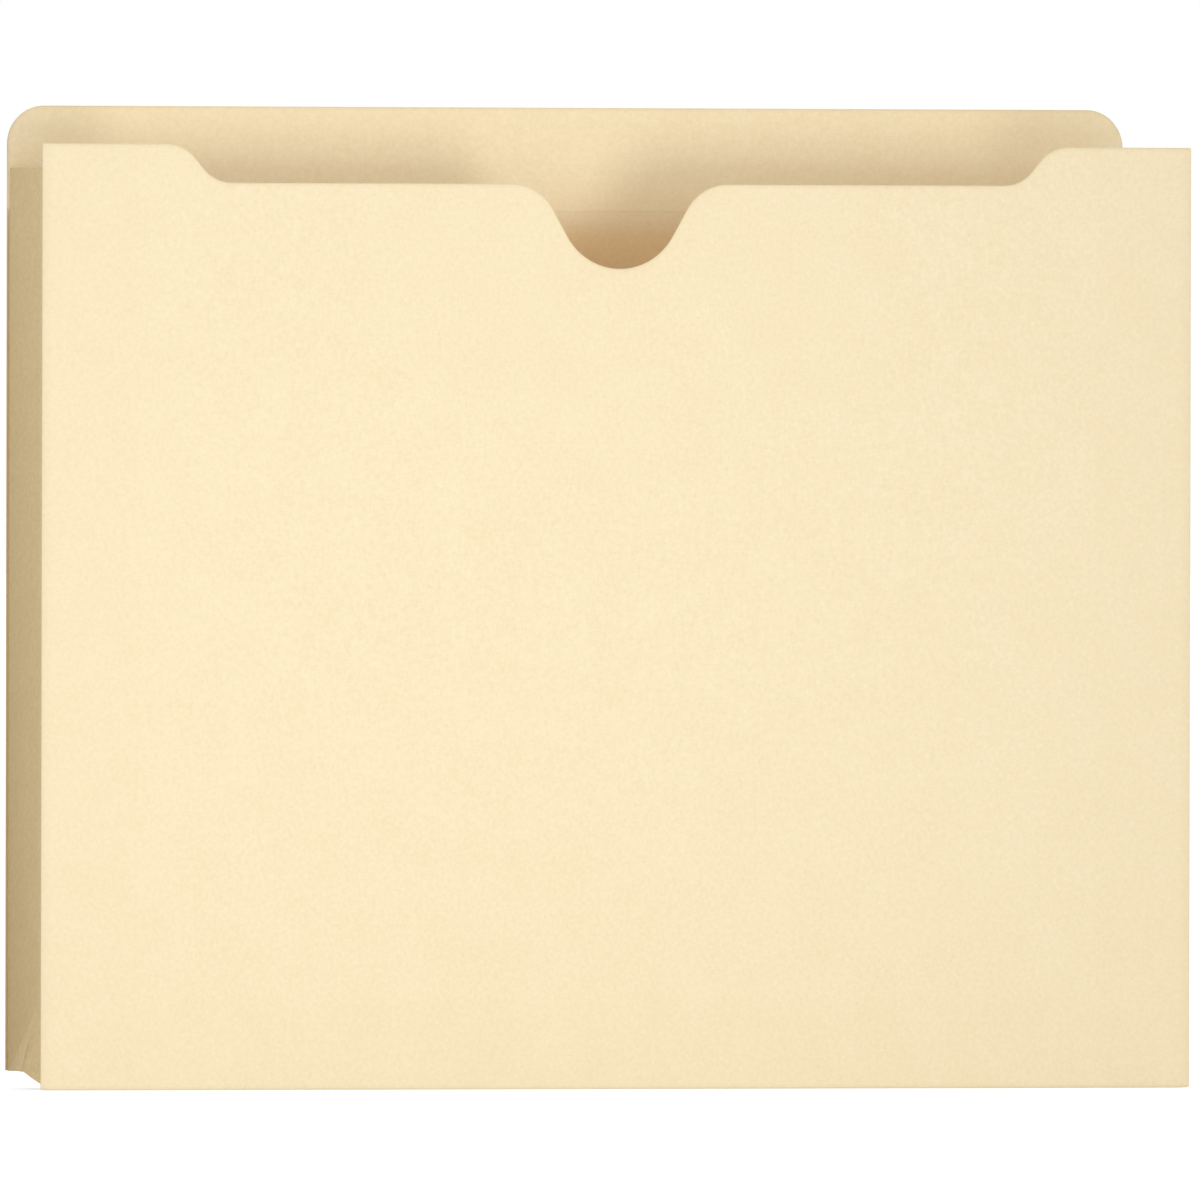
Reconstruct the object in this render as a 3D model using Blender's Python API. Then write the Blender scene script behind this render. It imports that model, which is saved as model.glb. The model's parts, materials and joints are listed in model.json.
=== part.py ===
"""Expanding file jacket in manila card: two panels joined on three sides by a V-folded gusset strip.

Metres, +Z up. The jacket stands on the lower edges of its panels, the front panel faces -Y, and
the origin lies under the middle of the jacket. Each gusset side has two halves with a crease at the
back panel, one between the halves and one at the front panel. The jacket is drawn nearly open.
"""
import math

import bmesh
import bpy
from mathutils import Vector

MM = 0.001

# Card stock and the glued joints
STOCK = 0.28 * MM
GLUE_FILM = 0.1 * MM
GLUE_GAP = 0.1 * MM
GLUE_MARGIN = 1.5 * MM

# Panels and the tab along the top of the back panel
FRONT_WIDTH = 298.45 * MM
FRONT_OVERHANG = 4.0 * MM
BACK_HEIGHT = 241.3 * MM
FRONT_TOP_RADIUS = 0.4 * MM
FRONT_FOOT_RADIUS = 0.8 * MM
BACK_FOOT_RADIUS = 3.0 * MM
TAB_CORNER_RADIUS = 9.5 * MM
TAB_PLY_HEIGHT = 25.4 * MM
TAB_PLY_GAP = 0.3 * MM

# Top edge of the front panel: shoulders, ramps down to a recess, and the thumb cut
TAB_RISE = 9.5 * MM
SHOULDER_LENGTH = 40.5 * MM
RECESS_DROP = 9.5 * MM
RAMP_ANGLE = math.radians(50.0)
RAMP_FILLET = 9.5 * MM
THUMB_DEPTH = 20.8 * MM
THUMB_RADIUS = 15.8 * MM
THUMB_SIDE_ANGLE = math.radians(29.5)
THUMB_FLARE_RADIUS = 12.0 * MM

# Gusset strip: two halves a side, folded inwards by REST_FOLD from fully open
GUSSET_HALF = 19.05 * MM
GUSSET_INSET = 0.4 * MM
GUSSET_LIFT = 1.2 * MM
GUSSET_DROP = 5.8 * MM
REST_FOLD = math.radians(4.5)
CREASE_CLEARANCE = 0.1 * MM
CREASE_GAP = 0.1 * MM
MITRE_GAP = 0.15 * MM
FLANGE_WIDTH = 20.6 * MM

# Creased web in each lower corner, where the side gusset turns into the bottom gusset
WEB_GAP = 0.45 * MM
KINK_OUT = 1.8 * MM
KINK_RISE = 3.4 * MM

ARC_STEP = math.radians(6.0)

# Sizes that follow from the front panel's width and the back panel's height
BACK_WIDTH = FRONT_WIDTH - 2 * FRONT_OVERHANG
SHOULDER_HEIGHT = BACK_HEIGHT - TAB_RISE
RECESS_HEIGHT = SHOULDER_HEIGHT - RECESS_DROP
GUSSET_TOP = SHOULDER_HEIGHT - GUSSET_DROP

# Crease lines. A panel crease lies just inside the gusset, the middle crease just outside it, so
# that the halves fold flat against each other with their own thickness between the creases.
CREASE_OFFSET = STOCK + 2 * CREASE_CLEARANCE
CREASE_Y = GUSSET_HALF * math.cos(REST_FOLD) + CREASE_OFFSET * math.sin(REST_FOLD)
REST_INSET = GUSSET_HALF * math.sin(REST_FOLD) - CREASE_OFFSET * math.cos(REST_FOLD)
OUTER_X = BACK_WIDTH / 2 - GUSSET_INSET
OUTER_Z = GUSSET_LIFT
CREASE_X = OUTER_X - STOCK - CREASE_CLEARANCE
CREASE_Z = OUTER_Z + STOCK + CREASE_CLEARANCE

# Layers from the gusset outwards: flange, glue, panel
FLANGE_Y = CREASE_Y + CREASE_CLEARANCE
GLUE_Y = FLANGE_Y + STOCK + GLUE_GAP
PANEL_Y = GLUE_Y + GLUE_FILM + GLUE_GAP

# Colour and roughness of each kind of card and of the dried glue
MANILA_PANEL = ("manila_panel", (0.930, 0.800, 0.545), 0.72)
MANILA_GUSSET = ("manila_gusset", (0.820, 0.660, 0.400), 0.78)
DRIED_GLUE = ("dried_glue", (0.870, 0.800, 0.640), 0.45)


def clear_scene():
    """Remove every object that the file opened with."""
    for obj in list(bpy.data.objects):
        bpy.data.objects.remove(obj, do_unlink=True)


def finish_material(node, look):
    """One Principled material for one node."""
    kind, colour, roughness = look
    material = bpy.data.materials.new(f"{node}_{kind}")
    material.use_nodes = True
    shader = material.node_tree.nodes["Principled BSDF"]
    shader.inputs["Base Color"].default_value = (*colour, 1.0)
    shader.inputs["Roughness"].default_value = roughness
    shader.inputs["Metallic"].default_value = 0.0
    return material


def add_object(name, bm, look, carrier=None):
    """Turn a finished bmesh into a named object, on a carrier empty if the node moves with one."""
    bmesh.ops.recalc_face_normals(bm, faces=bm.faces)
    mesh = bpy.data.meshes.new(name)
    bm.to_mesh(mesh)
    bm.free()
    mesh.materials.append(finish_material(name, look))
    obj = bpy.data.objects.new(name, mesh)
    bpy.context.collection.objects.link(obj)
    if carrier is not None:
        obj.parent = carrier
        obj.location = -carrier.location
    return obj


def rounded_outline(corners):
    """Outline through corners (x, z, radius), with an arc tangent to both edges at each corner."""
    points = []
    count = len(corners)
    for index, (x, z, radius) in enumerate(corners):
        here = Vector((x, z))
        to_last = (Vector(corners[index - 1][:2]) - here).normalized()
        to_next = (Vector(corners[(index + 1) % count][:2]) - here).normalized()
        if radius == 0:
            points.append(here)
            continue
        half_angle = to_last.angle(to_next) / 2
        middle = (to_last + to_next).normalized()
        centre = here + middle * (radius / math.sin(half_angle))
        start = here + to_last * (radius / math.tan(half_angle)) - centre
        turn = math.pi - 2 * half_angle
        steps = max(3, math.ceil(turn / ARC_STEP))
        sense = math.copysign(1.0, to_next.cross(to_last))
        for step in range(steps + 1):
            angle = sense * turn * step / steps
            turned = Vector((start.x * math.cos(angle) - start.y * math.sin(angle),
                             start.x * math.sin(angle) + start.y * math.cos(angle)))
            points.append(centre + turned)
    return points


def sheet(name, outline, near_y, look, carrier=None, thickness=STOCK):
    """Sheet cut to an outline in XZ, from near_y outwards by its thickness, away from the pocket."""
    far_y = near_y + math.copysign(thickness, near_y)
    bm = bmesh.new()
    face = bm.faces.new([bm.verts.new((x, near_y, z)) for x, z in outline])
    extruded = bmesh.ops.extrude_face_region(bm, geom=[face])["geom"]
    moved = [item for item in extruded if isinstance(item, bmesh.types.BMVert)]
    bmesh.ops.translate(bm, verts=moved, vec=(0, far_y - near_y, 0))
    return add_object(name, bm, look, carrier)


def back_outline():
    """Back panel: small round corners below, large ones on the tab."""
    side = BACK_WIDTH / 2
    return rounded_outline([
        (-side, 0.0, BACK_FOOT_RADIUS),
        (side, 0.0, BACK_FOOT_RADIUS),
        (side, BACK_HEIGHT, TAB_CORNER_RADIUS),
        (-side, BACK_HEIGHT, TAB_CORNER_RADIUS),
    ])


def tab_ply_outline(margin):
    """Second ply of the tab, with the tab's own top corners, drawn in by a margin."""
    side = BACK_WIDTH / 2 - margin
    top = BACK_HEIGHT - margin
    low = BACK_HEIGHT - TAB_PLY_HEIGHT + margin
    radius = TAB_CORNER_RADIUS - margin
    corners = [(-side, low, 0.0), (side, low, 0.0), (side, top, radius), (-side, top, radius)]
    return rounded_outline(corners)


def front_outline():
    """Front panel: shoulders at the sides, ramps down to the recess, and a round-bottomed thumb cut."""
    side = FRONT_WIDTH / 2
    half_run = RECESS_DROP / math.tan(RAMP_ANGLE) / 2
    ramp_top = side - SHOULDER_LENGTH + half_run
    ramp_foot = side - SHOULDER_LENGTH - half_run
    apex_depth = THUMB_DEPTH + THUMB_RADIUS * (1 / math.sin(THUMB_SIDE_ANGLE) - 1)
    thumb_half = apex_depth * math.tan(THUMB_SIDE_ANGLE)
    right_half = [
        (side, 0.0, FRONT_FOOT_RADIUS),
        (side, SHOULDER_HEIGHT, FRONT_TOP_RADIUS),
        (ramp_top, SHOULDER_HEIGHT, RAMP_FILLET),
        (ramp_foot, RECESS_HEIGHT, RAMP_FILLET),
        (thumb_half, RECESS_HEIGHT, THUMB_FLARE_RADIUS),
    ]
    left_half = [(-x, z, radius) for x, z, radius in reversed(right_half)]
    apex = (0.0, RECESS_HEIGHT - apex_depth, THUMB_RADIUS)
    return rounded_outline([*right_half, apex, *left_half])


def side_flange_outline(sense, top, margin):
    """Glued flange of a side gusset, mitred at its foot; sense is -1 on the left and 1 on the right."""
    outer = OUTER_X - margin
    inner = OUTER_X - FLANGE_WIDTH + margin
    mitre = OUTER_X + OUTER_Z + MITRE_GAP + margin * math.sqrt(2)
    corners = [(outer, mitre - outer), (outer, top - margin), (inner, top - margin), (inner, mitre - inner)]
    return [(sense * x, z) for x, z in corners]


def bottom_flange_outline(margin):
    """Glued flange of the bottom gusset, mitred at both ends."""
    low = OUTER_Z + margin
    high = OUTER_Z + FLANGE_WIDTH - margin
    mitre = OUTER_X + OUTER_Z - MITRE_GAP - margin * math.sqrt(2)
    return [(low - mitre, low), (mitre - low, low), (mitre - high, high), (high - mitre, high)]


def flanges_and_glue(label, face, side_top, carrier=None):
    """Three flanges of one panel and the glue strip behind each; face is 1 at the back, -1 in front."""
    outlines = {
        "left": lambda margin: side_flange_outline(-1, side_top, margin),
        "right": lambda margin: side_flange_outline(1, side_top, margin),
        "bottom": bottom_flange_outline,
    }
    for side, outline in outlines.items():
        sheet(f"{side}_{label}_flange", outline(0.0), face * FLANGE_Y, MANILA_GUSSET, carrier)
        sheet(f"{side}_{label}_glue", outline(GLUE_MARGIN), face * GLUE_Y, DRIED_GLUE, carrier, GLUE_FILM)


def gusset_half(name, corners, along, inward, first_layer, pivot, turn):
    """One half of a gusset side, drawn open and turned about its crease.

    Corners are (distance forward of the crease, distance along the crease line), along and inward are
    unit vectors, and first_layer is how far inwards of the crease the half's outer face lies.
    """
    forward = Vector((0, -1, 0))
    bm = bmesh.new()
    rings = []
    for layer in (first_layer, first_layer + STOCK):
        ring = [bm.verts.new(forward * s + along * u + inward * layer - along * along.dot(pivot))
                for s, u in corners]
        rings.append(ring)
    bm.faces.new(rings[0])
    bm.faces.new(list(reversed(rings[1])))
    count = len(corners)
    for index in range(count):
        after = (index + 1) % count
        bm.faces.new([rings[0][after], rings[0][index], rings[1][index], rings[1][after]])
    obj = add_object(name, bm, MANILA_GUSSET)
    obj.location = pivot
    obj.rotation_euler = along * turn
    return obj


def gusset_side(label, along, inward, crease, turn, outline):
    """Both halves of one gusset side, from its rear crease line; outline(lead) gives a half's corners."""
    rear_pivot = crease + Vector((0, CREASE_Y, 0))
    middle_pivot = crease + inward * REST_INSET
    rear_layer = -CREASE_CLEARANCE - STOCK
    gusset_half(f"{label}_gusset_rear", outline(0.0), along, inward, rear_layer, rear_pivot, turn)
    gusset_half(f"{label}_gusset_front", outline(GUSSET_HALF), along, inward, CREASE_CLEARANCE,
                middle_pivot, -turn)


def mitre_rise(from_rear):
    """How far a 45 degree mitre has come in from the corner, at a distance forward of the rear crease."""
    return GUSSET_HALF - abs(from_rear - GUSSET_HALF)


def side_half_outline(lead):
    """Side half that starts lead forward of the rear crease: mitred foot, square top."""
    def foot(s):
        return CREASE_Z + mitre_rise(lead + s) + MITRE_GAP

    near = CREASE_GAP
    far = GUSSET_HALF - CREASE_GAP
    return [(near, foot(near)), (far, foot(far)), (far, GUSSET_TOP), (near, GUSSET_TOP)]


def bottom_half_outline(lead):
    """Bottom half that starts lead forward of the rear crease: both ends mitred."""
    def reach(s):
        return CREASE_X - mitre_rise(lead + s) - MITRE_GAP

    near = CREASE_GAP
    far = GUSSET_HALF - CREASE_GAP
    return [(near, -reach(near)), (far, -reach(far)), (far, reach(far)), (near, reach(near))]


def corner_web(name, sense):
    """Creased web that closes a lower corner: two facets on the side and two below, round a kink."""
    corner_y = CREASE_Y - CREASE_GAP
    fold_in = GUSSET_HALF * math.sin(REST_FOLD) - (CREASE_CLEARANCE + STOCK) * math.cos(REST_FOLD)
    rear = (OUTER_X, corner_y, OUTER_Z)
    front = (OUTER_X, -corner_y, OUTER_Z)
    kink = (OUTER_X + KINK_OUT, 0.0, OUTER_Z + KINK_RISE)
    side_tip = (CREASE_X - fold_in, 0.0, CREASE_Z + GUSSET_HALF - WEB_GAP)
    bottom_tip = (CREASE_X - GUSSET_HALF + WEB_GAP, 0.0, CREASE_Z + fold_in)
    bm = bmesh.new()
    rear, front, kink, side_tip, bottom_tip = [
        bm.verts.new((sense * x, y, z)) for x, y, z in (rear, front, kink, side_tip, bottom_tip)]
    rim = (rear, side_tip, front, bottom_tip)
    for index, corner in enumerate(rim):
        facet = (kink, corner, rim[(index + 1) % len(rim)])
        bm.faces.new(facet if sense > 0 else tuple(reversed(facet)))
    obj = add_object(name, bm, MANILA_GUSSET)
    wall = obj.modifiers.new("card", "SOLIDIFY")
    wall.thickness = STOCK
    wall.offset = -1.0
    wall.use_even_offset = True
    return obj


def build():
    clear_scene()
    sheet("back_panel", back_outline(), PANEL_Y, MANILA_PANEL)
    sheet("tab_ply", tab_ply_outline(0.0), FLANGE_Y, MANILA_PANEL)
    sheet("tab_glue", tab_ply_outline(GLUE_MARGIN), GLUE_Y, DRIED_GLUE, thickness=GLUE_FILM)
    flanges_and_glue("rear", 1, BACK_HEIGHT - TAB_PLY_HEIGHT - TAB_PLY_GAP)

    # The front panel and its flanges hang on the crease at their left
    front_crease = bpy.data.objects.new("front_crease", None)
    bpy.context.collection.objects.link(front_crease)
    front_crease.location = (-CREASE_X, -CREASE_Y, 0)
    sheet("front_panel", front_outline(), -PANEL_Y, MANILA_PANEL, front_crease)
    flanges_and_glue("front", -1, GUSSET_TOP, front_crease)

    upward = Vector((0, 0, 1))
    rightward = Vector((1, 0, 0))
    gusset_side("left", upward, rightward, -rightward * CREASE_X, REST_FOLD, side_half_outline)
    gusset_side("right", upward, -rightward, rightward * CREASE_X, -REST_FOLD, side_half_outline)
    gusset_side("bottom", rightward, upward, upward * CREASE_Z, -REST_FOLD, bottom_half_outline)
    corner_web("left_corner_web", -1)
    corner_web("right_corner_web", 1)


build()
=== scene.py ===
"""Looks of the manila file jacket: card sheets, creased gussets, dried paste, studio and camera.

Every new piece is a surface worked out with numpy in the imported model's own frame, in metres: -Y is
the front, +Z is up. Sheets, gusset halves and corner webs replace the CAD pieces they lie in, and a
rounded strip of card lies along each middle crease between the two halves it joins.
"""

import json
import math

import bmesh
import bpy
import numpy as np
from mathutils import Matrix, Vector


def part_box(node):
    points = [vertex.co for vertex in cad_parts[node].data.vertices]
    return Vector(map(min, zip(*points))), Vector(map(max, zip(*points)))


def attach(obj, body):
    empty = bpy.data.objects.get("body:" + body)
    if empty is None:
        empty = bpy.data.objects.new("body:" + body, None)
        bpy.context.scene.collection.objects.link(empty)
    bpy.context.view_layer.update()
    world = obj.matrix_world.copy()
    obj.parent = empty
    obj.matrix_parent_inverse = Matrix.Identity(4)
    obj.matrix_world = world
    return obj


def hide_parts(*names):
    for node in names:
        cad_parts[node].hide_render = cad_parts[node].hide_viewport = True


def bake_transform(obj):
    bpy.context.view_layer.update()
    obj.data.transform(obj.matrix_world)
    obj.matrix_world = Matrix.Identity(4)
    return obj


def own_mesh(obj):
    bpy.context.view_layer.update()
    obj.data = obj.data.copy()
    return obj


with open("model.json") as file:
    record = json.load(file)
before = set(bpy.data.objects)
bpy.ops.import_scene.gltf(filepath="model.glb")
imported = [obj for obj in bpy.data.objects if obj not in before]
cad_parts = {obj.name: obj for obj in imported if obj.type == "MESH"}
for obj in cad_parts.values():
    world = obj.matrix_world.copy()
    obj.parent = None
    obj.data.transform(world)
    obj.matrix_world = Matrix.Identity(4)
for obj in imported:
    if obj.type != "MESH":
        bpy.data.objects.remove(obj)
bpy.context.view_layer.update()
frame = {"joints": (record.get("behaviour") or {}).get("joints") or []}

MM = 0.001

# Crease lines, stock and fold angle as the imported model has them
joints = {joint["name"]: joint for joint in frame["joints"]}
CREASE_X, CREASE_Y = np.abs(joints["left_rear_crease"]["pos_m"][:2])
CREASE_Z = joints["bottom_rear_crease"]["pos_m"][2]
MIDDLE_X = abs(joints["left_middle_crease"]["pos_m"][0])
REST_FOLD = math.radians(-joints["left_rear_crease"]["range_deg"][0])
FRONT_HIGH = np.array(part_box("front_panel")[1])
BACK_HIGH = np.array(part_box("back_panel")[1])
PLY_LOW = np.array(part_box("tab_ply")[0])
GUSSET_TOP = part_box("left_gusset_rear")[1].z
FLANGE_INNER_X = abs(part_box("left_front_flange")[1].x)
FLANGE_INNER_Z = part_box("bottom_front_flange")[1].z
STOCK = 0.28 * MM
CREASE_CLEARANCE = 0.1 * MM
FOLD_RADIUS = CREASE_CLEARANCE + STOCK
GUSSET_HALF = math.sqrt(CREASE_Y**2 + (CREASE_X - MIDDLE_X)**2 - (FOLD_RADIUS + CREASE_CLEARANCE)**2)

# Cut outlines of the panels
FRONT_TOP_RADIUS = 0.4 * MM
FRONT_FOOT_RADIUS = 0.8 * MM
BACK_CLIP_WIDTH = 16.0 * MM
BACK_CLIP_HEIGHT = 4.4 * MM
TAB_CORNER_RADIUS = 9.5 * MM
PLY_FOOT_RADIUS = 0.4 * MM
SHOULDER_LENGTH = 40.5 * MM
RECESS_DROP = 9.5 * MM
RAMP_ANGLE = math.radians(50.0)
RAMP_FILLET = 9.5 * MM
THUMB_DEPTH = 20.8 * MM
THUMB_RADIUS = 15.8 * MM
THUMB_SIDE_ANGLE = math.radians(29.5)
THUMB_FLARE_RADIUS = 12.0 * MM

# Fineness of the meshes and of the softened cut edges
EDGE_SOFTENING = 0.06 * MM
PATH_STEP = 2.5 * MM
ARC_STEP = math.radians(5.0)
SHARP_ANGLE = math.radians(28.0)

# Wear of cut edges, the deeper tone over glued flanges, and how far the painted pocket shade reaches up
# the pocket
RIM_REACH = 0.3 * MM
RIM_WEAR = 0.5
BACKED_TONE = 0.12
POCKET_SHADE_START = 2 * MM
POCKET_SHADE_FULL = 8 * MM
POCKET_SHADE_REACH = 9 * MM
POCKET_SHADE_REACH_SHARE = 0.2

# How far the panels stand off a plane, and how the tab's ply is rolled thin
FRONT_BOW = 0.9 * MM
BACK_BOW = 0.5 * MM
RIPPLE = 0.1 * MM
FLANGE_PRINT = 0.05 * MM
PLY_TAPER = 11 * MM
PLY_PRESS = 0.29 * MM
PLY_THINNING = 0.26 * MM
PLY_WEAR_START = 12 * MM
PRINT_BLUR = 1.2 * MM

# Wrinkles, creases and gaps of the gusset
WRINKLE = 0.08 * MM
WRINKLE_WIDTH = 0.9 * MM
CREASE_STRIP = 1.0 * MM
CREASE_ROUNDING = 0.6 * MM
SCORE_GAP = 0.02 * MM
MITRE_GAP = 0.25 * MM
CREASE_END_GAP = 0.5 * MM
SIDE_REAR_LIFT = 2.7 * MM
BOTTOM_REAR_CUT = 16.0 * MM

# Crumpled corner webs, their hidden lips and the shade painted along their crease
WEB_KINK_OUT = 2.7 * MM
WEB_KINK_RISE = 3.4 * MM
WEB_SAG = 1.5 * MM
WEB_SAG_PLACE = 0.6
WEB_CRUMPLE = 0.14 * MM
LIP_TUCK = 1.0 * MM
LIP_WIDTH = 3.0 * MM
LIP_GAP = 0.1 * MM
PAINTED_CREASE_SHADE = 0.6
PAINTED_CREASE_SHADE_REACH = 0.5 * MM


def smooth_step(value, start, end):
    """0 before start, 1 after end, and 3t^2 - 2t^3 between them."""
    t = np.clip((value - start) / (end - start), 0.0, 1.0)
    return t * t * (3 - 2 * t)


def rounded_path(corners):
    """Points (x, z) along a path whose inner corners (x, z, radius) are arcs tangent to both legs.

    An arc is centre + radius (cos a, sin a) between its tangent points, which lie radius / tan(half
    the corner's angle) from the corner; straight stretches are cut into steps.
    """
    here = np.array([corner[:2] for corner in corners])
    radii = np.array([corner[2] for corner in corners])
    stretches = [here[:1]]
    for index in range(1, len(corners) - 1):
        legs = np.stack([here[index - 1], here[index + 1]]) - here[index]
        legs /= np.linalg.norm(legs, axis=1, keepdims=True)
        half_angle = math.acos(np.clip(legs[0] @ legs[1], -1, 1)) / 2
        middle = legs.sum(0) / np.linalg.norm(legs.sum(0))
        centre = here[index] + middle * radii[index] / math.sin(half_angle)
        start, end = here[index] + legs * radii[index] / math.tan(half_angle) - centre
        first, last = math.atan2(*start[::-1]), math.atan2(*end[::-1])
        turn = (last - first + math.pi) % (2 * math.pi) - math.pi
        angle = first + turn * np.linspace(0, 1, max(4, math.ceil(abs(turn) / ARC_STEP)) + 1)
        stretches.append(centre + radii[index] * np.stack([np.cos(angle), np.sin(angle)], 1))
    stretches.append(here[-1:])
    joined = [stretches[0]]
    for before, after in zip(stretches, stretches[1:]):
        steps = max(1, math.ceil(np.linalg.norm(after[0] - before[-1]) / PATH_STEP))
        share = np.linspace(0, 1, steps + 1)[1:, None]
        joined += [before[-1] + (after[0] - before[-1]) * share, after[1:]]
    path = np.concatenate(joined)
    apart = np.linalg.norm(np.diff(path, axis=0), axis=1) > 1e-7
    return path[np.concatenate([[True], apart])]


def grid_quads(count_u, count_v):
    """Corner indices of a grid's quads, with the points stored u by u."""
    index = np.arange(count_u * count_v).reshape(count_u, count_v)
    corners = [index[:-1, :-1], index[1:, :-1], index[1:, 1:], index[:-1, 1:]]
    return np.stack(corners, -1).reshape(-1, 4)


def rim_loop(grid):
    """Border of a grid as one closed loop: along the first v, the last u, the last v, the first u."""
    return np.concatenate([grid[:-1, 0], grid[-1, :-1], grid[:0:-1, -1], grid[0, :0:-1]])


def card_shell(outer, inner, rings=()):
    """Points and quads of a closed sheet: two face grids joined along their borders through rings."""
    count = outer.shape[0] * outer.shape[1]
    index = np.arange(count).reshape(outer.shape[:2])
    loops = [rim_loop(index)]
    for number, ring in enumerate(rings):
        loops.append(2 * count + number * len(ring) + np.arange(len(ring)))
    loops.append(rim_loop(index) + count)
    points = np.concatenate([outer.reshape(-1, 3), inner.reshape(-1, 3), *rings])
    faces = grid_quads(*outer.shape[:2])
    strips = [np.stack([a, np.roll(a, -1), np.roll(b, -1), b], -1) for a, b in zip(loops, loops[1:])]
    return points, np.concatenate([faces, faces[:, ::-1] + count, *strips])


def add_piece(name, points, quads, material, slot, nodes=(), **attributes):
    """Closed mesh object at the origin, faces outwards, that stands for the named CAD nodes."""
    mesh = bpy.data.meshes.new(name)
    mesh.vertices.add(len(points))
    mesh.vertices.foreach_set("co", points.astype(np.float32).ravel())
    mesh.loops.add(quads.size)
    mesh.loops.foreach_set("vertex_index", quads.astype(np.int32).ravel())
    mesh.polygons.add(len(quads))
    mesh.polygons.foreach_set("loop_start", np.arange(0, quads.size, 4, dtype=np.int32))
    mesh.update(calc_edges=True)
    solid = bmesh.new()
    solid.from_mesh(mesh)
    bmesh.ops.recalc_face_normals(solid, faces=solid.faces)
    solid.to_mesh(mesh)
    solid.free()
    for label, values in attributes.items():
        layer = mesh.attributes.new(label, "FLOAT", "POINT")
        layer.data.foreach_set("value", values.astype(np.float32).ravel())
    mesh.shade_smooth()
    mesh.set_sharp_from_angle(angle=SHARP_ANGLE)
    mesh.materials.append(material)
    piece = bpy.data.objects.new(name, mesh)
    bpy.context.scene.collection.objects.link(piece)
    if nodes:
        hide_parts(*nodes)
    return piece


def linear(code):
    """Linear RGBA of an sRGB hex colour: c / 12.92 when dark, else ((c + 0.055) / 1.055)^2.4."""
    srgb = np.array([int(code[place:place + 2], 16) for place in (1, 3, 5)]) / 255
    value = np.where(srgb <= 0.04045, srgb / 12.92, ((srgb + 0.055) / 1.055) ** 2.4)
    return (*value.tolist(), 1.0)


def add_node(tree, kind, inputs=None, **settings):
    """One node with its properties set; an input is a plain value or the socket that feeds it."""
    node = tree.nodes.new(kind)
    for key, value in settings.items():
        setattr(node, key, value)
    for socket, value in (inputs or {}).items():
        if isinstance(value, bpy.types.NodeSocket):
            tree.links.new(value, node.inputs[socket])
        else:
            node.inputs[socket].default_value = value
    return node


# Painted shade in the pocket: a warm, darker tint multiplied into the faces below the tab's ply, for the
# shade and the warm bounced light in there
POCKET_SHADE_TINT = "#f9e7d2"
# Painted shade on the gusset card: a darker tint that grows from the front crease to the rear one and is
# deepest low down next to the back panel
GUSSET_SHADE_TINT = "#d5d1c6"


def card_material(name, pale, deep, rim_tone, tint, roughness):
    """Calendered card stock, dyed in the pulp.

    To the eye it is matt and nearly even: soft clouds about 12 mm wide where the pulp lies thicker,
    a mottle of 1.1 mm, and a cross grain of fibres 1.4 mm long. Fibres are 0.03 mm wide on the real
    card, and are drawn 0.3 mm wide so that they show at all. Cut edges are a little greyer, and the
    same rim colour paints a shade line along a crease where a piece asks for it. The tint is painted
    shade, multiplied into the card where the piece asks for it.
    """
    material = bpy.data.materials.new(name)
    material.use_nodes = True
    tree = material.node_tree
    shader = tree.nodes["Principled BSDF"]
    place = add_node(tree, "ShaderNodeTexCoord").outputs["Object"]
    layers = []
    for size, share, detail in (
            ((12 * MM, 12 * MM, 12 * MM), 0.12, 2.0),
            ((1.1 * MM, 1.1 * MM, 1.1 * MM), 0.40, 2.0),
            ((1.4 * MM, 1.0 * MM, 0.3 * MM), 0.24, 1.0),
            ((0.3 * MM, 1.0 * MM, 1.4 * MM), 0.24, 1.0)):
        scaled = add_node(tree, "ShaderNodeMapping", {
            "Vector": place,
            "Scale": tuple(1 / length for length in size),
        })
        noise = add_node(tree, "ShaderNodeTexNoise", {
            "Vector": scaled.outputs["Vector"],
            "Scale": 1.0,
            "Detail": detail,
        })
        total = layers[-1][1] if layers else 0.0
        summed = add_node(tree, "ShaderNodeMath", {0: noise.outputs["Fac"], 1: share, 2: total},
                          operation="MULTIPLY_ADD")
        layers.append((noise.outputs["Fac"], summed.outputs["Value"]))
    tone = add_node(tree, "ShaderNodeMapRange", {
        "Value": layers[-1][1],
        "From Min": 0.35,
        "From Max": 0.65,
    })
    dyed = add_node(tree, "ShaderNodeMix", {
        "Factor": tone.outputs["Result"],
        6: linear(deep),
        7: linear(pale),
    }, data_type="RGBA")
    glued = add_node(tree, "ShaderNodeAttribute", attribute_name="glued")
    backed = add_node(tree, "ShaderNodeMix", {
        "Factor": glued.outputs["Fac"],
        6: dyed.outputs[2],
        7: linear(deep),
    }, data_type="RGBA")
    # Painted shade: the tint is multiplied in as far as the piece's attribute asks
    tinted = add_node(tree, "ShaderNodeAttribute", attribute_name="tinted")
    with_painted_shade = add_node(tree, "ShaderNodeMix", {
        "Factor": tinted.outputs["Fac"],
        6: backed.outputs[2],
        7: linear(tint),
    }, data_type="RGBA", blend_type="MULTIPLY")
    rim = add_node(tree, "ShaderNodeAttribute", attribute_name="rim")
    edged = add_node(tree, "ShaderNodeMix", {
        "Factor": rim.outputs["Fac"],
        6: with_painted_shade.outputs[2],
        7: linear(rim_tone),
    }, data_type="RGBA")
    tree.links.new(edged.outputs[2], shader.inputs["Base Color"])
    gloss = add_node(tree, "ShaderNodeMapRange", {
        "Value": layers[1][0],
        "From Min": 0.3,
        "From Max": 0.7,
        "To Min": roughness - 0.05,
        "To Max": roughness + 0.05,
    })
    tree.links.new(gloss.outputs["Result"], shader.inputs["Roughness"])
    tooth = add_node(tree, "ShaderNodeBump", {
        "Height": layers[-1][1],
        "Strength": 0.25,
        "Distance": 0.05 * MM,
    })
    tree.links.new(tooth.outputs["Normal"], shader.inputs["Normal"])
    shader.inputs["IOR"].default_value = 1.45
    shader.inputs["Specular IOR Level"].default_value = 0.3
    return material


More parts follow.
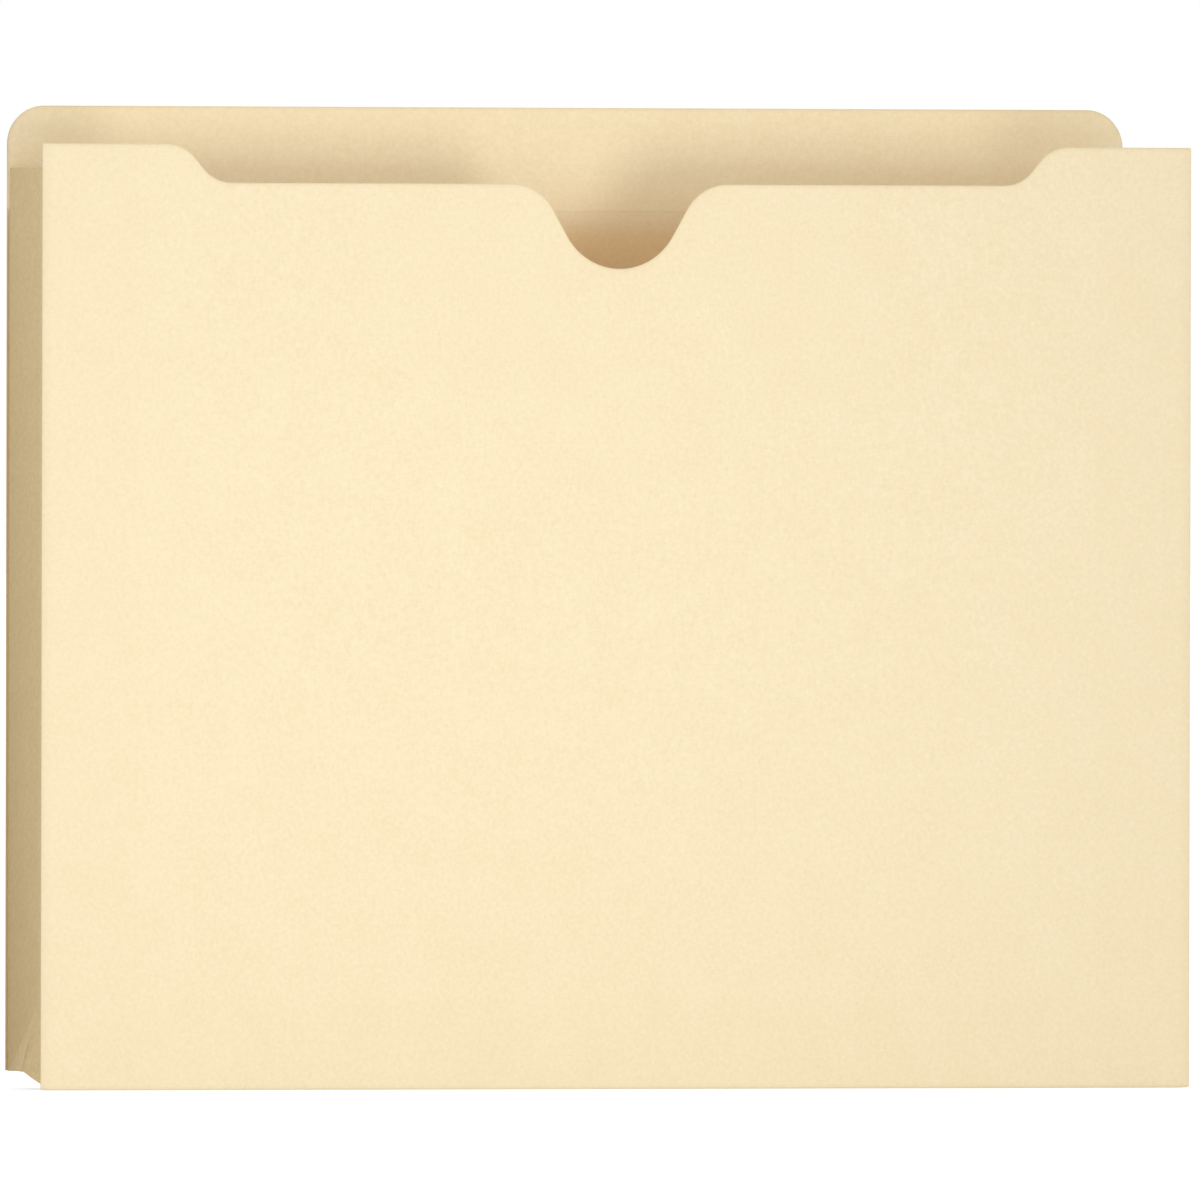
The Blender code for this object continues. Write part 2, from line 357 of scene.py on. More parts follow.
def paste_material():
    """Dried starch paste: a thin cream film with brush streaks 0.8 mm apart, smoother than the card."""
    material = bpy.data.materials.new("dried_starch_paste")
    material.use_nodes = True
    tree = material.node_tree
    shader = tree.nodes["Principled BSDF"]
    place = add_node(tree, "ShaderNodeTexCoord").outputs["Object"]
    scaled = add_node(tree, "ShaderNodeMapping", {
        "Vector": place,
        "Scale": (1 / (0.8 * MM), 1 / (0.8 * MM), 1 / (9 * MM)),
    })
    streaks = add_node(tree, "ShaderNodeTexNoise", {
        "Vector": scaled.outputs["Vector"],
        "Scale": 1.0,
        "Detail": 2.0,
    })
    film = add_node(tree, "ShaderNodeMix", {
        "Factor": streaks.outputs["Fac"],
        6: linear("#d9c9a4"),
        7: linear("#f4ead2"),
    }, data_type="RGBA")
    tree.links.new(film.outputs[2], shader.inputs["Base Color"])
    gloss = add_node(tree, "ShaderNodeMapRange", {
        "Value": streaks.outputs["Fac"],
        "To Min": 0.35,
        "To Max": 0.55,
    })
    tree.links.new(gloss.outputs["Result"], shader.inputs["Roughness"])
    ridges = add_node(tree, "ShaderNodeBump", {
        "Height": streaks.outputs["Fac"],
        "Strength": 0.3,
        "Distance": 0.04 * MM,
    })
    tree.links.new(ridges.outputs["Normal"], shader.inputs["Normal"])
    shader.inputs["IOR"].default_value = 1.49
    return material


panel_card = card_material("manila_card_panel", "#f1e2c0", "#e9d7b0", "#c5b58e", POCKET_SHADE_TINT, 0.72)
# Same manila as the panels in paler colours: painted light on the tab ply, for the light the front panel
# keeps off it
tab_card_painted_light = card_material("manila_card_tab", "#faeac6", "#f2dfb6", "#cdbb93", POCKET_SHADE_TINT, 0.72)
# Same manila in darker colours: painted shade on the gussets. Its third colour only paints the shade line
# along the corner webs' crease
gusset_card_painted_shade = card_material("manila_card_gusset", "#dfca9e", "#d5ba8a", "#a78d66", GUSSET_SHADE_TINT, 0.78)
paste = paste_material()


def inside(x, z, half_width, low, high):
    """1 in the free middle of a sheet and 0 where its edges are glued to the gusset's flanges."""
    across = smooth_step(half_width - np.abs(x), 14 * MM, 110 * MM)
    return across * smooth_step(z, low, high)


def ripples(x, z):
    """Slow waves of dried card: three sines of 70 to 130 mm wavelength at unlike angles."""
    waves = np.sin(2 * math.pi * (x / 0.093 + z / 0.127) + 0.6)
    waves += np.sin(2 * math.pi * (x / 0.131 - z / 0.074) + 2.1)
    return waves / 2 + 0.5 * np.sin(2 * math.pi * (x / 0.071 + z / 0.21) + 4.0)


def front_stand_off(x, z):
    """Distance the front panel stands forward of its plane: a bow that grows to the free top edge,
    slow ripples, and the faint print of the flanges glued behind it."""
    free = inside(x, z, FRONT_HIGH[0], 20 * MM, 215 * MM)
    return FRONT_BOW * free + RIPPLE * free * ripples(x, z) + FLANGE_PRINT * flange_cover(x, z)


def back_stand_off(x, z):
    """Distance the back panel and the tab's second ply stand behind their planes: a bow and ripples."""
    free = inside(x, z, BACK_HIGH[0], 20 * MM, 130 * MM)
    eased = free * (1 - 0.6 * smooth_step(z, 150 * MM, 235 * MM))
    return BACK_BOW * eased - RIPPLE * eased * ripples(-x, z)


def ply_taper(z):
    """1 at the tab ply's lower edge, falling evenly to 0 where the card is full and flat again."""
    return np.clip(1 - (z - PLY_LOW[2]) / PLY_TAPER, 0.0, 1.0)


def ply_stand_off(x, z):
    """The back panel's stand-off, with the tab ply's lower part rolled down on the panel behind it."""
    return back_stand_off(x, z) + PLY_PRESS * ply_taper(z)


def ply_thinning(z):
    """How much thinner the tab ply gets towards its lower edge, where it is rolled flat."""
    return PLY_THINNING * ply_taper(z)


def ply_wear(z):
    """Share of the cut edge's wear on the tab ply: none at its rolled foot, all of it higher up."""
    return smooth_step(z, PLY_LOW[2], PLY_LOW[2] + PLY_WEAR_START)


def flange_cover(x, z):
    """1 where a flange is glued behind the panel, 0 elsewhere, with a soft border."""
    sides = smooth_step(np.abs(x), FLANGE_INNER_X - PRINT_BLUR / 2, FLANGE_INNER_X + PRINT_BLUR / 2)
    low = smooth_step(-z, -FLANGE_INNER_Z - PRINT_BLUR / 2, -FLANGE_INNER_Z + PRINT_BLUR / 2)
    return np.maximum(sides, low)


def round_foot(radius):
    """Lower edge with round corners: r - sqrt(r^2 - over^2), with over the way past a corner's start."""
    def rise(inside_end):
        over = np.clip(radius - inside_end, 0.0, radius)
        return radius - np.sqrt(radius**2 - over**2)
    return rise


def clipped_foot(width, height):
    """Lower edge with corners clipped in a bow: height (1 - (inside / width)^2) up from the foot, with
    inside the distance from the sheet's end."""
    def rise(inside_end):
        return height * np.clip(1 - (inside_end / width)**2, 0.0, 1.0)
    return rise


def outline_grid(path, half_width, foot, foot_rise, rows):
    """Grid of x and z between a sheet's foot and the path of its upper edge.

    z = lower edge + row (upper edge - lower edge), with the lower edge at foot + rise, where the rise
    follows from the distance to the sheet's end.
    """
    x, top = path.T
    low = foot + foot_rise(np.maximum(half_width - np.abs(x), 0.0))
    z = low[:, None] + rows * (top - low)[:, None]
    return np.broadcast_to(x[:, None], z.shape), z


def cut_sheet(name, node, body, path, foot_rise, stand_off, pocket_faces, card=panel_card, columns=(),
              backing=None, wear=np.ones_like, thinning=np.zeros_like):
    """Sheet of card cut to a path along its top, with softened cut edges.

    Both faces lie at the CAD sheet's own y plus the stand-off. The faces stop short of the outline
    by the softening, and two rings on the outline carry the cut edge between them. Thinning takes
    card off the front face, and the softening shrinks with the card that is left. Wear fades from the
    cut edge as exp(-depth / reach), a painted shade covers the pocket faces below the tab's ply and
    a little way up it, and backing deepens the card over what is glued behind it.
    """
    low, high = (np.array(corner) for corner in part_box(node))
    half, foot = high[0], low[2]
    known = np.clip(np.array(columns), path[0, 0], path[-1, 0])
    x = np.unique(np.concatenate([path[:, 0], known]))
    path = np.stack([x, np.interp(x, *path.T)], 1)
    along = np.gradient(path, axis=0)
    along /= np.linalg.norm(along, axis=1, keepdims=True)
    shrunk = path - EDGE_SOFTENING * np.stack([-along[:, 1], along[:, 0]], 1)
    height = high[2] - foot
    near = np.array([0.0, 0.35, 1.0, 2.2]) * MM / height
    steps = max(4, math.ceil(height / (2 * PATH_STEP)) * 2)
    middle = np.linspace(near[-1], 1 - near[-1], steps)[1:-1]
    rows = np.concatenate([near, middle, 1 - near[::-1]])
    face_x, face_z = outline_grid(shrunk, half - EDGE_SOFTENING, foot + EDGE_SOFTENING, foot_rise, rows)
    rim_x, rim_z = (rim_loop(grid) for grid in outline_grid(path, half, foot, foot_rise, rows))
    sense = math.copysign(1.0, low[1])
    face_off = sense * stand_off(face_x, face_z)
    rim_off = sense * stand_off(rim_x, rim_z)
    outer = np.stack([face_x, low[1] + face_off + thinning(face_z), face_z], -1)
    inner = np.stack([face_x, high[1] + face_off, face_z], -1)
    soft = EDGE_SOFTENING * (1 - thinning(rim_z) / STOCK)
    rings = [np.stack([rim_x, low[1] + soft + rim_off + thinning(rim_z), rim_z], -1),
             np.stack([rim_x, high[1] - soft + rim_off, rim_z], -1)]
    points, quads = card_shell(outer, inner, rings)
    lower, upper = face_z[:, :1], face_z[:, -1:]
    depth = np.minimum(np.minimum(face_z - lower, upper - face_z), half - np.abs(face_x))
    rim_tone = (np.exp(-np.maximum(depth, 0) / RIM_REACH) * wear(face_z)).ravel()
    rim = RIM_WEAR * np.concatenate([rim_tone, rim_tone, wear(rim_z), wear(rim_z)])
    # Painted shade in the pocket: full a little below the tab ply's lower edge, and a fifth of it up the
    # ply's lower band
    depth_below = PLY_LOW[2] - face_z
    pocket_shade = np.maximum(smooth_step(depth_below, -POCKET_SHADE_START, POCKET_SHADE_FULL),
                        POCKET_SHADE_REACH_SHARE * smooth_step(depth_below, -POCKET_SHADE_REACH, 0.0)).ravel()
    tinted = np.concatenate([pocket_shade * pocket_faces[0], pocket_shade * pocket_faces[1], 0 * rim_z, 0 * rim_z])
    covered = BACKED_TONE * backing(points[:, 0], points[:, 2]) if backing else np.zeros(len(points))
    piece = add_piece(name, points, quads, card, "manila_panel", [node],
                      rim=rim, tinted=tinted, glued=covered)
    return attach(piece, body)


def front_top_path():
    """Front panel's upper edge from left to right: shoulder, ramp, recess, thumb cut, and back up."""
    half, top = FRONT_HIGH[0], FRONT_HIGH[2]
    recess = top - RECESS_DROP
    half_run = RECESS_DROP / math.tan(RAMP_ANGLE) / 2
    apex = THUMB_DEPTH + THUMB_RADIUS * (1 / math.sin(THUMB_SIDE_ANGLE) - 1)
    left = [
        (-half, top / 2, 0.0),
        (-half, top, FRONT_TOP_RADIUS),
        (-half + SHOULDER_LENGTH - half_run, top, RAMP_FILLET),
        (-half + SHOULDER_LENGTH + half_run, recess, RAMP_FILLET),
        (-apex * math.tan(THUMB_SIDE_ANGLE), recess, THUMB_FLARE_RADIUS),
    ]
    right = [(-x, z, radius) for x, z, radius in reversed(left)]
    path = rounded_path([*left, (0.0, recess - apex, THUMB_RADIUS), *right])
    return upper_part(path, half, top - FRONT_TOP_RADIUS)


def round_top_path(half, top, radius):
    """Straight upper edge with two round corners."""
    left = [(-half, top / 2, 0.0), (-half, top, radius)]
    right = [(half, top, radius), (half, top / 2, 0.0)]
    path = rounded_path([*left, *right])
    return upper_part(path, half, top - radius)


def upper_part(path, half, corner_start):
    """The path without the straight sides below its corner arcs."""
    on_side = (np.abs(path[:, 0]) > half - 1e-7) & (path[:, 1] < corner_start - 1e-7)
    return path[~on_side]


def side_points(side, inward, y, along):
    """Frame points of one gusset side from distances: inward from the middle of the jacket's box
    edge, front to back, and along the crease."""
    inward, y, along = np.broadcast_arrays(inward, y, along)
    if side == "bottom":
        return np.stack([along, y, CREASE_Z + inward], -1)
    sense = -1.0 if side == "left" else 1.0
    return np.stack([sense * (CREASE_X - inward), y, along], -1)


def corner_cut(side, label):
    """How far a gusset piece stays off the corner along its panel crease: the rear corners are clipped."""
    if label == "front":
        return 0.0
    return BOTTOM_REAR_CUT if side == "bottom" else SIDE_REAR_LIFT


def crease_reach(side, cut, v):
    """Place along the crease at share v of a piece's length, with the cut taken off each mitred end.
    The bottom stays a gap short of the mitre, so that it clears the sides when all are folded."""
    if side == "bottom":
        return (CREASE_X - cut - MITRE_GAP) * (2 * v - 1)
    return (CREASE_Z + cut) * (1 - v) + GUSSET_TOP * v


def mitre(side, label, s):
    """Cut at distance s from the panel crease: from the corner cut it grows evenly to the gusset's
    half width at the middle crease, which is 45 degrees where the corner isn't clipped."""
    start = corner_cut(side, label)
    return start + s * (1 - start / GUSSET_HALF)


def wrinkle(s, along):
    """Shallow dent across a side gusset about 39 mm up, running down towards the front, with a
    second fainter one higher up; each is a ridge of profile 1 / (1 + (d / width)^2)."""
    low = along - (39.5 * MM - 0.05 * s)
    high = along - (118 * MM + 0.22 * s)
    return 1 / (1 + (low / WRINKLE_WIDTH)**2) - 0.5 / (1 + (high / (2 * WRINKLE_WIDTH))**2)


def painted_gusset_shade(points):
    """Painted shade on the gusset card: it grows from the front crease to the rear one, and downwards."""
    share = np.clip((points[:, 1] + CREASE_Y) / (2 * CREASE_Y), 0.0, 1.0)
    return share * (1 - 0.55 * np.clip(points[:, 2] / GUSSET_TOP, 0.0, 1.0))


def gusset_half(side, label):
    """One half of a gusset side: a flat strip from the fold at its panel to the middle crease's strip.

    With s the distance from the panel crease and d the depth outwards of the crease line, a point lies
    s sin(fold) - d cos(fold) inwards and CREASE_Y - s cos(fold) - d sin(fold) from the middle plane.
    """
    face = 1.0 if label == "rear" else -1.0
    s = np.linspace(FOLD_RADIUS + SCORE_GAP, GUSSET_HALF - CREASE_STRIP, 37)[:, None]
    lows = np.linspace(0, 60 * MM, 121)
    highs = np.linspace(60 * MM, GUSSET_TOP, 100)[1:]
    v = (np.concatenate([lows, highs]) / GUSSET_TOP)[None, :]
    along = crease_reach(side, mitre(side, label, s), v)
    dent = np.zeros_like(along)
    if side != "bottom":
        from_rear = s if label == "rear" else 2 * GUSSET_HALF - s
        fade = np.sin(math.pi * np.clip(s / GUSSET_HALF, 0, 1))
        dent = WRINKLE * fade * wrinkle(from_rear, along)
    grids = []
    for depth in (FOLD_RADIUS, CREASE_CLEARANCE):
        d = depth - dent
        inward = s * math.sin(REST_FOLD) - d * math.cos(REST_FOLD)
        y = face * (CREASE_Y - s * math.cos(REST_FOLD) - d * math.sin(REST_FOLD))
        grids.append(side_points(side, inward, y, along))
    points, quads = card_shell(*grids)
    piece = add_piece(f"{side}_{label}_half", points, quads, gusset_card_painted_shade, "manila_gusset",
                      [f"{side}_gusset_{label}"], tinted=painted_gusset_shade(points))
    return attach(piece, f"{side}_{label}")


def middle_crease(side):
    """Strip of card across a middle crease: two slopes at the fold angle, rounded where they meet.

    Within the rounding c of the crease the slope's |y| becomes (y^2 + c^2) / 2c, so the bend is smooth.
    The bottom's strip ends a little earlier, so that it clears the sides' strips when all are folded.
    """
    edge = CREASE_STRIP * math.cos(REST_FOLD)
    y = np.linspace(-1, 1, 25)[:, None]
    v = np.linspace(0, 1, 120)[None, :]
    inset = CREASE_X - MIDDLE_X
    grids = []
    for depth in (CREASE_CLEARANCE, FOLD_RADIUS):
        reach = edge + depth * math.sin(REST_FOLD)
        across = y * reach
        size = np.abs(across)
        bend = (size**2 + CREASE_ROUNDING**2) / (2 * CREASE_ROUNDING)
        rounded = np.where(size < CREASE_ROUNDING, bend, size)
        inward = inset + depth / math.cos(REST_FOLD) - rounded * math.tan(REST_FOLD)
        s = GUSSET_HALF - np.abs(across) / math.cos(REST_FOLD)
        cut = np.where(across > 0, mitre(side, "rear", s), mitre(side, "front", s))
        cut = cut + (CREASE_END_GAP if side == "bottom" else 0.0)
        grids.append(side_points(side, inward, across, crease_reach(side, cut, v)))
    points, quads = card_shell(*grids)
    piece = add_piece(f"{side}_middle_crease", points, quads, gusset_card_painted_shade, "manila_gusset",
                      tinted=painted_gusset_shade(points))
    middle = side_points(side, inset, 0.0, 0.0)
    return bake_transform(piece)


def flat_reach(side, label, inward, top, gap, v):
    """Place along the crease on a flat glued strip: the cut is the distance inwards, for a 45 degree
    mitre, or the clipped corner's where that is more, and a gap is kept from the mitre."""
    cut = np.maximum(inward, corner_cut(side, label)) + gap
    if side == "bottom":
        return (CREASE_X - cut) * (2 * v - 1)
    return (CREASE_Z + cut) * (1 - v) + top * v


def flat_span(side, node):
    """Nearest and farthest distance inwards of a CAD strip from the panel crease, and its top."""
    low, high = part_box(node)
    if side == "bottom":
        return low.z - CREASE_Z, high.z - CREASE_Z, high.z
    sides = sorted(CREASE_X - abs(x) for x in (low.x, high.x))
    return *sides, high.z


def folded_flange(side, label):
    """Flange glued to a panel with the round of its fold: a profile carried along the crease.

    The profile runs straight from the flange's free edge to the crease, then round the crease line by
    a half turn at the card's depth, so that the fold stays closed at every angle of the gusset.
    """
    node = f"{side}_{label}_flange"
    face = 1.0 if label == "rear" else -1.0
    _, far, top = flat_span(side, node)
    straight = np.linspace(far, 0, 24)[:-1]
    turn = np.linspace(math.pi / 2, 3 * math.pi / 2, 25)
    v = np.linspace(0, 1, 60)[None, :]
    grids = []
    for depth in (FOLD_RADIUS, CREASE_CLEARANCE):
        inward = np.concatenate([straight, depth * np.cos(turn)])[:, None]
        rise = np.concatenate([np.full(len(straight), depth), depth * np.sin(turn)])[:, None]
        along = flat_reach(side, label, inward, top, 0.1 * MM, v)
        grids.append(side_points(side, inward, face * (CREASE_Y + rise), along))
    points, quads = card_shell(*grids)
    piece = add_piece(f"{side}_{label}_fold", points, quads, gusset_card_painted_shade, "manila_gusset", [node],
                      tinted=painted_gusset_shade(points))
    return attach(piece, "back" if label == "rear" else "front")


def paste_film(side, label):
    """Film of paste between a flange and its panel: a flat strip with the flange's own mitres."""
    node = f"{side}_{label}_glue"
    near, far, top = flat_span(side, node)
    inward = np.linspace(near, far, 12)[:, None]
    along = flat_reach(side, label, inward, top, 1.5 * MM, np.linspace(0, 1, 40)[None, :])
    low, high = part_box(node)
    points, quads = card_shell(*(side_points(side, inward, y, along) for y in (low.y, high.y)))
    piece = add_piece(f"{side}_{label}_paste", points, quads, paste, "dried_glue", [node])
    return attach(piece, "back" if label == "rear" else "front")


def tab_film():
    """Film of paste between the tab's two plies: a strip bowed like them, above the rolled edge."""
    low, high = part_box("tab_glue")
    x = np.linspace(low.x + TAB_CORNER_RADIUS, high.x - TAB_CORNER_RADIUS, 60)[:, None]
    z = np.linspace(PLY_LOW[2] + PLY_TAPER, high.z, 8)[None, :]
    grids = [np.broadcast_arrays(x, y + back_stand_off(x, z), z) for y in (low.y, high.y)]
    points, quads = card_shell(*(np.stack(grid, -1) for grid in grids))
    piece = add_piece("tab_paste", points, quads, paste, "dried_glue", ["tab_glue"])
    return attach(piece, "back")


def web_lip(side, end):
    """Lip of a corner web: a strip just inside the front half of a gusset side, along its mitred edge,
    so that no slit opens where the web and that half draw apart. It has the half's own formula, at a
    depth behind the half's inner face, and goes on a little past the middle crease. end is -1 in the left
    corner and 1 in the right one."""
    s = np.linspace(0.04, 1.06, 26)[:, None] * GUSSET_HALF
    cut = mitre(side, "front", s) + np.linspace(-LIP_TUCK, LIP_WIDTH, 9)[None, :]
    along = end * (CREASE_X - cut) if side == "bottom" else CREASE_Z + cut
    grids = []
    for depth in (-LIP_GAP, -LIP_GAP - STOCK):
        inward = s * math.sin(REST_FOLD) - depth * math.cos(REST_FOLD)
        y = -(CREASE_Y - s * math.cos(REST_FOLD) - depth * math.sin(REST_FOLD))
        grids.append(side_points(side, inward, y, along))
    return card_shell(*grids)


def corner_web(side):
    """Crumpled card in a lower corner, flattened by the fold.

    On a grid (a, b) from -1 to 1 the middle is the kink, +a the tip on the side gusset, -a the tip on
    the bottom gusset, and b the rear and front corners. Each quarter is the bilinear patch of the kink,
    two of those and the middle of the edge between them, or the end of the clipped corner, so that the
    creases run along a = 0 and b = 0. The front corner drops to the bottom gusset's own corner just
    under its crease, the clipped edge bows upwards like the back panel's, and the crease from the kink
    to the front corner dips in a second, blunter kink. Ripples of the angle round the kink fade to
    nothing at the kink and at the rim. Two hidden lips behind the front mitres belong to the piece.
    """
    sense = -1.0 if side == "left" else 1.0
    outer_x, outer_z = CREASE_X + FOLD_RADIUS, CREASE_Z - FOLD_RADIUS
    tip_in = CREASE_X - MIDDLE_X + CREASE_CLEARANCE
    kink = np.array([outer_x + WEB_KINK_OUT, 0.0, outer_z + WEB_KINK_RISE])
    tips = {
        "side": np.array([CREASE_X - tip_in, 0.0, CREASE_Z + GUSSET_HALF]),
        "bottom": np.array([CREASE_X - GUSSET_HALF, 0.0, CREASE_Z + tip_in]),
        "rear": np.array([outer_x, CREASE_Y, CREASE_Z + SIDE_REAR_LIFT]),
        "front": np.array([outer_x, -CREASE_Y, CREASE_Z]),
    }
    clip_end = np.array([CREASE_X - BOTTOM_REAR_CUT, CREASE_Y, outer_z])
    a, b = np.meshgrid(np.linspace(-1, 1, 57), np.linspace(-1, 1, 57), indexing="ij")
    a, b = a[..., None], b[..., None]
    tip_a = np.where(a >= 0, tips["side"], tips["bottom"])
    tip_b = np.where(b >= 0, tips["rear"], tips["front"])
    size_a, size_b = np.abs(a), np.abs(b)
    under = np.where((a < 0) & (b < 0), np.clip(8 * size_a, 0.0, 1.0), 0.0)
    tip_b = tip_b + under * np.array([-FOLD_RADIUS, 0.0, -FOLD_RADIUS])
    web = kink * (1 - size_a) * (1 - size_b) + tip_a * size_a * (1 - size_b)
    far_corner = np.where((a < 0) & (b > 0), clip_end, (tip_a + tip_b) / 2)
    web = web + tip_b * (1 - size_a) * size_b + far_corner * size_a * size_b
    bow = np.where((a < 0) & (b > 0), size_a * (1 - size_a) * size_b, 0.0)
    web = web + bow * np.array([0.0, 0.0, tips["rear"][2] - clip_end[2]])
    dip = np.minimum(size_b / WEB_SAG_PLACE, (1 - size_b) / (1 - WEB_SAG_PLACE))
    web = web - np.where(b < 0, dip * (1 - size_a), 0.0) * np.array([0.0, 0.0, WEB_SAG])
    normal = np.cross(np.gradient(web, axis=0), np.gradient(web, axis=1))
    length = np.linalg.norm(normal, axis=-1, keepdims=True)
    outward = np.array([1.0, 0.0, -1.0]) / math.sqrt(2)
    normal = np.where(length > 1e-12, normal / np.maximum(length, 1e-12), outward)
    normal *= np.where(normal @ outward >= 0, 1.0, -1.0)[..., None]
    reach = np.maximum(size_a, size_b)
    angle = np.arctan2(b, a)
    crumple = np.sin(7 * angle + 0.8) + 0.6 * np.sin(12 * angle + 5 * reach)
    web = web + normal * WEB_CRUMPLE * crumple * 4 * reach * (1 - reach)
    mirror = np.array([sense, 1.0, 1.0])
    points, quads = card_shell(web * mirror, (web - normal * STOCK) * mirror)
    # Painted shade: a dark line in the rim colour along the crease from the kink to the side tip
    line = np.exp(-size_b * GUSSET_HALF / PAINTED_CREASE_SHADE_REACH) * np.where(a > 0, 1 - size_a, 0.0)
    rim = PAINTED_CREASE_SHADE * np.concatenate([line.ravel(), line.ravel()])
    for lip_points, lip_quads in (web_lip(side, sense), web_lip("bottom", sense)):
        quads = np.concatenate([quads, lip_quads + len(points)])
        points = np.concatenate([points, lip_points])
        rim = np.concatenate([rim, np.zeros(len(lip_points))])
    piece = add_piece(f"{side}_web", points, quads, gusset_card_painted_shade, "manila_gusset",
                      [f"{side}_corner_web"], rim=rim, tinted=painted_gusset_shade(points))
    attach(piece, "back")
    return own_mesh(piece)


def build_jacket():
    """Every piece of the jacket."""
    print_columns = np.linspace(-2, 2, 13) * PRINT_BLUR / 2
    columns = np.concatenate([FLANGE_INNER_X + print_columns, -FLANGE_INNER_X + print_columns])
    cut_sheet("front_sheet", "front_panel", "front", front_top_path(), round_foot(FRONT_FOOT_RADIUS),
              front_stand_off, (0.0, 1.0), columns=columns, backing=flange_cover)
    back_path = round_top_path(BACK_HIGH[0], BACK_HIGH[2], TAB_CORNER_RADIUS)
    cut_sheet("back_sheet", "back_panel", "back", back_path,
              clipped_foot(BACK_CLIP_WIDTH, BACK_CLIP_HEIGHT), back_stand_off, (1.0, 0.0))
    cut_sheet("tab_second_ply", "tab_ply", "back", back_path, round_foot(PLY_FOOT_RADIUS),
              ply_stand_off, (1.0, 0.0), tab_card_painted_light, wear=ply_wear, thinning=ply_thinning)
    for side in ("left", "right", "bottom"):
        for label in ("rear", "front"):
            gusset_half(side, label)
            folded_flange(side, label)
            paste_film(side, label)
        middle_crease(side)
    tab_film()
    corner_web("left")
    corner_web("right")


# Studio: a low soft box in front, one behind, and a white room
KEY_PLACE = (0.05, -0.56, 0.09)
KEY_AIM = (-0.75, 0.0, 0.10)
KEY_SIZE = (0.24, 0.18)
KEY_POWER = 1.0
REAR_PLACE = (0.5, 1.4, 1.0)
REAR_POWER = 6.0
ROOM_LIGHT = 1.11
FLOOR_WHITE = "#b2b2b2"
FLOOR_LIFT = 0.45
FLOOR_GLOW = 0.18
FLOOR_REACH = 40.0


def lamp(name, place, aim, size, power):
    """Rectangular soft box that the camera doesn't see."""
    data = bpy.data.lights.new(name, "AREA")
    data.shape = "RECTANGLE"
    data.size, data.size_y = size
    data.energy = power
    box = bpy.data.objects.new(name, data)
    box.location = place
    box.rotation_euler = (Vector(aim) - Vector(place)).to_track_quat("-Z", "Y").to_euler()
    box.visible_camera = False
    bpy.context.scene.collection.objects.link(box)


def seen_directly(tree):
    """1 for rays that show the background to the eye: camera, glossy and transmitted rays."""
    path = add_node(tree, "ShaderNodeLightPath")
    seen = path.outputs["Is Camera Ray"]
    for kind in ("Is Glossy Ray", "Is Transmission Ray"):
        either = add_node(tree, "ShaderNodeMath", {0: seen, 1: path.outputs[kind]}, operation="MAXIMUM")
        seen = either.outputs["Value"]
    return seen


def white_room():
    """Even light from all round; the eye sees it as plain white."""
    world = bpy.data.worlds.new("white_room")
    bpy.context.scene.world = world
    world.use_nodes = True
    tree = world.node_tree
    tree.nodes.clear()
    light = add_node(tree, "ShaderNodeBackground", {"Color": (1, 1, 1, 1), "Strength": ROOM_LIGHT})
    white = add_node(tree, "ShaderNodeBackground", {"Color": (1, 1, 1, 1), "Strength": 1.0})
    mixed = add_node(tree, "ShaderNodeMixShader", {
        0: seen_directly(tree),
        1: light.outputs["Background"],
        2: white.outputs["Background"],
    })
    add_node(tree, "ShaderNodeOutputWorld", {"Surface": mixed.outputs["Shader"]})


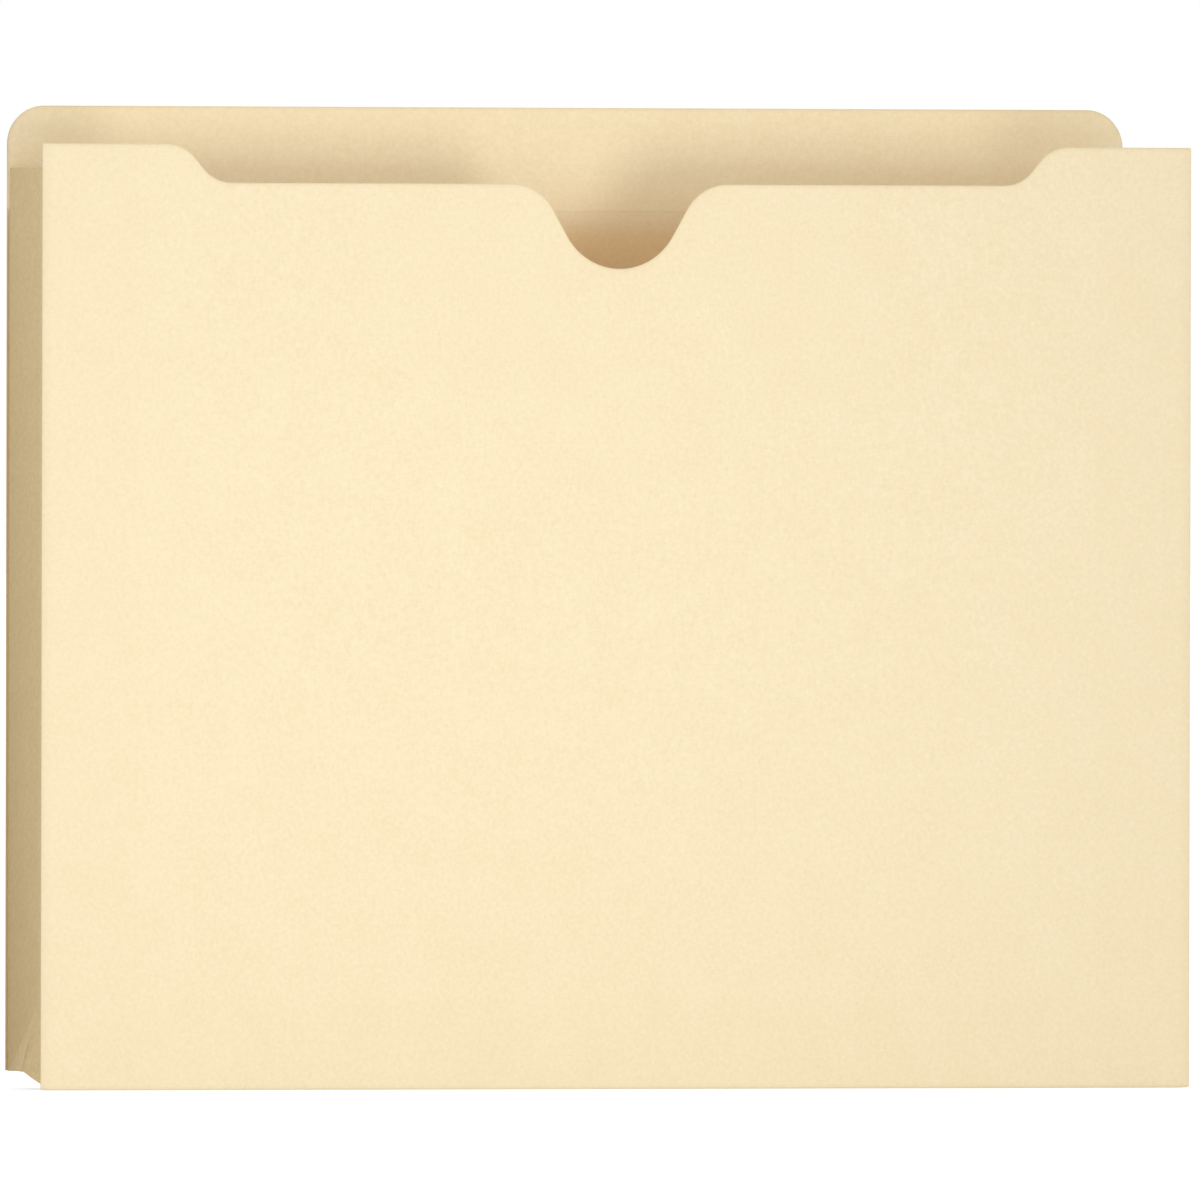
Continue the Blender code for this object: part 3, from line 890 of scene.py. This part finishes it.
def white_floor():
    """Matt floor of a light table: it glows a little, is lifted to white for the eye and keeps the
    jacket's shadow."""
    material = bpy.data.materials.new("matt_white_floor")
    material.use_nodes = True
    tree = material.node_tree
    tree.nodes.clear()
    matt = add_node(tree, "ShaderNodeBsdfDiffuse", {"Color": linear(FLOOR_WHITE)})
    lift = add_node(tree, "ShaderNodeMath", {0: seen_directly(tree), 1: FLOOR_LIFT, 2: FLOOR_GLOW},
                    operation="MULTIPLY_ADD")
    glow = add_node(tree, "ShaderNodeEmission", {"Strength": lift.outputs["Value"]})
    both = add_node(tree, "ShaderNodeAddShader", {0: matt.outputs["BSDF"], 1: glow.outputs["Emission"]})
    add_node(tree, "ShaderNodeOutputMaterial", {"Surface": both.outputs["Shader"]})
    mesh = bpy.data.meshes.new("floor")
    corners = np.array([(-1, -1, 0), (1, -1, 0), (1, 1, 0), (-1, 1, 0)]) * FLOOR_REACH
    mesh.from_pydata(corners.tolist(), [], [(0, 1, 2, 3)])
    mesh.materials.append(material)
    floor = bpy.data.objects.new("floor", mesh)
    bpy.context.scene.collection.objects.link(floor)


# Camera of the photograph: a long lens a little left of the jacket, nearly level
CAMERA_AZIMUTH = math.radians(-18.977)
CAMERA_ELEVATION = math.radians(0.2)
CAMERA_ROLL = math.radians(0.12)
CAMERA_DISTANCE = 12.0
CAMERA_LENS = 1462.8
CAMERA_TARGET = Vector((2.145 * MM, 0.0, 120.072 * MM))


def photo_camera():
    """Camera that looks at its target from an azimuth and elevation, rolled about its own axis."""
    flat = math.cos(CAMERA_ELEVATION)
    right = Vector((math.cos(CAMERA_AZIMUTH), math.sin(CAMERA_AZIMUTH), 0.0))
    level = Vector((right.y, -right.x, 0.0))
    back = level * flat + Vector((0.0, 0.0, math.sin(CAMERA_ELEVATION)))
    up = back.cross(right)
    axis_x = right * math.cos(CAMERA_ROLL) + up * math.sin(CAMERA_ROLL)
    axis_y = up * math.cos(CAMERA_ROLL) - right * math.sin(CAMERA_ROLL)
    data = bpy.data.cameras.new("photo_camera")
    data.lens = CAMERA_LENS
    data.sensor_width = 36.0
    data.clip_end = 100.0
    camera = bpy.data.objects.new("photo_camera", data)
    turned = Matrix((axis_x, axis_y, back)).transposed().to_4x4()
    camera.matrix_world = Matrix.Translation(CAMERA_TARGET + back * CAMERA_DISTANCE) @ turned
    bpy.context.scene.collection.objects.link(camera)
    bpy.context.scene.camera = camera


build_jacket()
lamp("key_box", KEY_PLACE, KEY_AIM, KEY_SIZE, KEY_POWER)
lamp("rear_box", REAR_PLACE, (0.0, 0.0, 0.12), (0.9, 0.9), REAR_POWER)
white_room()
white_floor()
photo_camera()
bpy.context.scene.view_settings.view_transform = "Standard"
